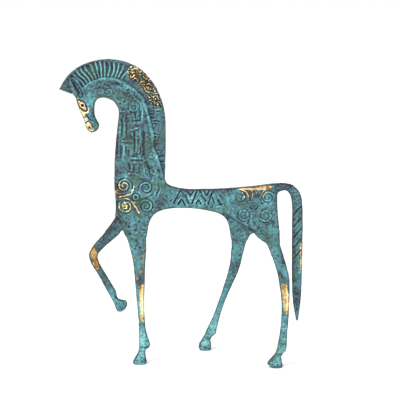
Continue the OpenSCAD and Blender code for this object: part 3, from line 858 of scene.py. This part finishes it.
def turnRivets(name, shape):
    bm = bmesh.new()
    count = 40      # points round a ring
    tones = []
    for x, z in shape["at"]:
        half = shape["profile"]
        profile = [(r, -y, tone) for r, y, tone in reversed(half)] + half[1:]
        rings = []
        for radius, along, tone in profile:
            tones += [tone] * (count if radius else 1)
            if radius == 0:
                rings.append([bm.verts.new((x, along, z))])
                continue
            ring = []
            for k in range(count):
                turn = 2 * math.pi * k / count
                place = Vector((x + radius * math.cos(turn), along, z + radius * math.sin(turn)))
                # not quite round, from hammering
                dent = 0.1 * noise.noise(place * 0.9) * min(1, radius)
                ring.append(bm.verts.new(place + Vector((dent, dent * 0.5, dent))))
            rings.append(ring)
        for a, b in zip(rings, rings[1:]):
            for k in range(count):
                if len(a) == 1:
                    bm.faces.new((a[0], b[k - 1], b[k]))
                elif len(b) == 1:
                    bm.faces.new((a[k], a[k - 1], b[0]))
                else:
                    bm.faces.new((a[k], a[k - 1], b[k - 1], b[k]))
    bmesh.ops.recalc_face_normals(bm, faces=bm.faces)
    bmesh.ops.scale(bm, vec=(mm,) * 3, verts=bm.verts)
    mesh = bpy.data.meshes.new(name + "_turned")
    bm.to_mesh(mesh)
    bm.free()
    mesh.polygons.foreach_set("use_smooth", [True] * len(mesh.polygons))
    tones = np.array(tones)
    paint(mesh, "relief", tones)
    paint(mesh, "edge", 0 * tones)
    paint(mesh, "rubbed", shape["rub"] * steps(0.3, 0.6, tones))
    paint(mesh, "copper", 0 * tones)
    piece = addPiece(name + "_turned", mesh)
    rounded = piece.modifiers.new("rounded", "SUBSURF")
    rounded.levels = rounded.render_levels = 1
    return piece


def linear(code, alpha=1.0):
    # sRGB hex to linear
    values = [int(code[i:i + 2], 16) / 255 for i in (1, 3, 5)]
    return (*[v / 12.92 if v <= 0.04045 else ((v + 0.055) / 1.055) ** 2.4 for v in values], alpha)


def addNode(tree, kind, settings=None, links=None):
    node = tree.nodes.new("ShaderNode" + kind)
    for name, value in (settings or {}).items():
        if name == "stops":
            while len(node.color_ramp.elements) < len(value):
                node.color_ramp.elements.new(1)
            for element, (place, code) in zip(node.color_ramp.elements, value):
                element.position, element.color = place, linear(code)
        elif isinstance(name, int) or name in node.inputs:
            node.inputs[name].default_value = value
        else:
            setattr(node, name, value)
    for name, source in (links or {}).items():
        tree.links.new(source, node.inputs[name])
    return node


def newMaterial(name):
    material = bpy.data.materials.new(name)
    material.use_nodes = True
    tree = material.node_tree
    tree.nodes.clear()
    shader = addNode(tree, "BsdfPrincipled")
    addNode(tree, "OutputMaterial", None, {"Surface": shader.outputs[0]})
    return material, tree, shader


# Cast bronze under verdigris: a matt blue-green crust, brightest on what stands proud, with the
# brown-violet oxide of the metal in the hollows, rims darkened partly by that oxide and partly by
# painted shade, and bare yellow metal where hands have rubbed it, paling to a painted highlight where it
# stands proudest.
verdigris = {
    "crust": [(0.0, "#1c1822"), (0.22, "#2d323d"), (0.4, "#394d53"), (0.54, "#40666b"),
              (0.68, "#487b81"), (0.84, "#579499"), (1.0, "#7fb8b6")],
    "moss": "#3f5a3c",
    # rubbed metal, dark in the hollows, its palest stop a painted highlight on what stands proudest
    "metalAndHighlight": [(0.14, "#453529"), (0.36, "#8f6c3f"), (0.56, "#cba767"), (0.82, "#fae5b0")],
    "copper": "#a8703c",
    "blotch": 7.0,       # mm across, the drift between bright and dark crust
    "speckle": 1.1,      # mm across, single specks of crust; real ones are finer, these still show
    "mossPatch": 11.0,   # mm across
    "crustRough": 0.66,
    "metalRough": 0.27,
    "lift": 0.0,         # brighter or darker crust
}


def verdigrisBronze(name, look):
    material, tree, shader = newMaterial(name)
    shader.inputs["Specular IOR Level"].default_value = 0.3
    where = addNode(tree, "TexCoord").outputs["Object"]
    relief, edge, rub, copper = [
        addNode(tree, "Attribute", {"attribute_name": layer}).outputs["Fac"]
        for layer in ("relief", "edge", "rubbed", "copper")]
    blotch = addNode(tree, "TexNoise", {"Scale": 1000 / look["blotch"], "Detail": 5, "Roughness": 0.6},
                     {"Vector": where}).outputs[0]
    speckle = addNode(tree, "TexNoise", {"Scale": 1000 / look["speckle"], "Detail": 3, "Roughness": 0.7},
                      {"Vector": where}).outputs[0]
    patch = addNode(tree, "TexNoise", {"Scale": 1000 / look["mossPatch"], "Detail": 3},
                    {"Vector": where}).outputs[0]
    level = addNode(tree, "Math", {"operation": "MULTIPLY_ADD", 1: 1.1, 2: look["lift"] - 0.55},
                    {0: blotch}).outputs[0]
    level = addNode(tree, "Math", {"operation": "ADD"}, {0: level, 1: relief}).outputs[0]
    level = addNode(tree, "Math", {"operation": "MULTIPLY_ADD", 1: 0.95},
                    {0: speckle, 2: level}).outputs[0]
    # darker on the rims: partly bare oxide, partly painted shade
    level = addNode(tree, "Math", {"operation": "MULTIPLY_ADD", 1: -0.38},
                    {0: edge, 2: level}).outputs[0]
    level = addNode(tree, "Math", {"operation": "SUBTRACT", 1: 0.42}, {0: level}).outputs[0]
    crust = addNode(tree, "ValToRGB", {"stops": look["crust"]}, {0: level}).outputs[0]
    mossy = addNode(tree, "MapRange", {"From Min": 0.52, "From Max": 0.7, "To Max": 0.55},
                    {"Value": patch}).outputs[0]
    crust = addNode(tree, "Mix", {"data_type": "RGBA", 7: linear(look["moss"])},
                    {0: mossy, 6: crust}).outputs[2]
    crust = addNode(tree, "Mix", {"data_type": "RGBA", 7: linear(look["copper"])},
                    {0: copper, 6: crust}).outputs[2]
    worn = addNode(tree, "Math", {"operation": "MULTIPLY_ADD", 1: 0.5, 2: -0.25},
                   {0: speckle}).outputs[0]
    worn = addNode(tree, "Math", {"operation": "ADD"}, {0: worn, 1: rub}).outputs[0]
    worn = addNode(tree, "MapRange", {"From Min": 0.38, "From Max": 0.62}, {"Value": worn}).outputs[0]
    # bare metal, with a painted highlight where it stands proudest
    metalAndHighlight = addNode(tree, "ValToRGB", {"stops": look["metalAndHighlight"]}, {0: level}).outputs[0]
    colour = addNode(tree, "Mix", {"data_type": "RGBA"}, {0: worn, 6: crust, 7: metalAndHighlight}).outputs[2]
    rough = addNode(tree, "MapRange", {"To Min": look["crustRough"], "To Max": look["metalRough"]},
                    {"Value": worn}).outputs[0]
    bump = addNode(tree, "Bump", {"Strength": 0.35, "Distance": 0.12 * mm},
                   {"Height": speckle}).outputs[0]
    for socket, source in (("Base Color", colour), ("Metallic", worn), ("Roughness", rough),
                           ("Normal", bump)):
        tree.links.new(source, shader.inputs[socket])
    return material


# Drawn bronze rod: bright, with fine scratches round it from being turned to length
rod = {
    "tone": [(0.3, "#8a6a3f"), (0.7, "#c79f5f")],
    "scratch": 3.5,      # mm between scratch marks; real ones are finer
}


def drawnBronze(name, look):
    material, tree, shader = newMaterial(name)
    where = addNode(tree, "TexCoord").outputs["Object"]
    # a wave texture of scale 1 has bands 314 mm apart
    bands = {"bands_direction": "Y", "Scale": 314 / look["scratch"], "Distortion": 2, "Detail": 2}
    scratch = addNode(tree, "TexWave", bands, {"Vector": where}).outputs[1]
    tone = addNode(tree, "ValToRGB", {"stops": look["tone"]}, {0: scratch}).outputs[0]
    rough = addNode(tree, "MapRange", {"To Min": 0.25, "To Max": 0.4}, {"Value": scratch}).outputs[0]
    bump = addNode(tree, "Bump", {"Strength": 0.2, "Distance": 0.05 * mm},
                   {"Height": scratch}).outputs[0]
    shader.inputs["Metallic"].default_value = 1
    for socket, source in (("Base Color", tone), ("Roughness", rough), ("Normal", bump)):
        tree.links.new(source, shader.inputs[socket])
    return material


def paperWhite(name):
    # matt white board, with a faint tooth
    material, tree, shader = newMaterial(name)
    where = addNode(tree, "TexCoord").outputs["Object"]
    tooth = addNode(tree, "TexNoise", {"Scale": 1000 / studio["tooth"], "Detail": 2},
                    {"Vector": where}).outputs[0]
    bump = addNode(tree, "Bump", {"Strength": 0.05, "Distance": 0.1 * mm}, {"Height": tooth}).outputs[0]
    shader.inputs["Base Color"].default_value = linear("#ffffff")
    shader.inputs["Roughness"].default_value = 0.9
    tree.links.new(bump, shader.inputs["Normal"])
    return material


# A pale table in soft light
studio = {
    "target": (0.01314, 0, 0.1188),
    "distance": 1.2,
    "pitch": 9,
    "lens": 147.9,
    "sky": 1.0,
    "floor": 12,         # m from the middle to each edge
    "tooth": 2.5,        # mm, grain of the board
    "key": {"place": (-0.6, -0.8, 1.05), "size": 0.4, "power": 12},
    "fill": {"place": (0.9, -0.7, 0.35), "size": 0.8, "power": 2},
}


def setStudio():
    scene = bpy.context.scene
    scene.view_settings.view_transform = "Standard"
    world = bpy.data.worlds.new("studio")
    scene.world = world
    world.use_nodes = True
    back = world.node_tree.nodes.get("Background") or world.node_tree.nodes.new("ShaderNodeBackground")
    back.inputs[0].default_value = (1, 1, 1, 1)
    back.inputs[1].default_value = studio["sky"]
    target = Vector(studio["target"])
    for name in ("key", "fill"):
        light = bpy.data.lights.new(name, "AREA")
        light.size = studio[name]["size"]
        light.energy = studio[name]["power"]
        lamp = bpy.data.objects.new(name, light)
        lamp.location = studio[name]["place"]
        lamp.rotation_euler = (target - lamp.location).to_track_quat("-Z", "Y").to_euler()
        scene.collection.objects.link(lamp)
    bm = bmesh.new()
    bmesh.ops.create_grid(bm, x_segments=8, y_segments=8, size=studio["floor"])
    mesh = bpy.data.meshes.new("floor")
    bm.to_mesh(mesh)
    bm.free()
    mesh.materials.append(paperWhite("white board"))
    addPiece("floor", mesh)
    camera = bpy.data.cameras.new("camera")
    camera.lens = studio["lens"]
    eye = bpy.data.objects.new("camera", camera)
    pitch = math.radians(studio["pitch"])
    eye.location = target + studio["distance"] * Vector((0, -math.cos(pitch), math.sin(pitch)))
    eye.rotation_euler = (math.pi / 2 - pitch, 0, 0)
    scene.collection.objects.link(eye)
    scene.camera = eye


setStudio()
print("studio set")
bodyBronze = verdigrisBronze("verdigris bronze", verdigris)
crestBronze = verdigrisBronze("verdigris bronze, crest", {**verdigris, "lift": -0.04})
legBronze = verdigrisBronze("verdigris bronze, legs", {**verdigris, "lift": 0.04})

body, *parts = cutJoints(castBody())
print("body cast and cut")


def nameOf(part):
    # the joint that the part touches
    points = readPoints(part.data)
    gaps = [
        (np.linalg.norm(points - np.array(joint[0], float), axis=1).min(), name)
        for name, joint in casting["joints"].items()]
    return min(gaps)[1]


made = [(body, "near_side", -1, bodyBronze), (body, "far_side", 1, bodyBronze)]
for part in parts:
    leg = nameOf(part)
    made.append((part, leg, None, bodyBronze if leg == "tail" else legBronze))
made.append((castCrest(), "mane_crest", None, crestBronze))
for rough, node, half, bronze in made:
    piece = finishMesh(rough, node + "_cast", half)
    piece.data.materials.append(bronze)
    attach(piece, "root")
    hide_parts(node)
for rough in {row[0] for row in made}:
    bpy.data.objects.remove(rough)
print("cast pieces done")

rivetBronze = verdigrisBronze("verdigris bronze, rivets", verdigris)
for node, shape in rivets.items():
    piece = turnRivets(node, shape)
    piece.data.materials.append(rivetBronze)
    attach(piece, "root")
    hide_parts(node)

rodBronze = drawnBronze("drawn bronze rod", rod)
for name, node in nodes.items():
    if name.endswith("_dowel") or name == "tail_pin":
        for slot in node.material_slots:
            slot.material = rodBronze
print("rivets and dowels done")
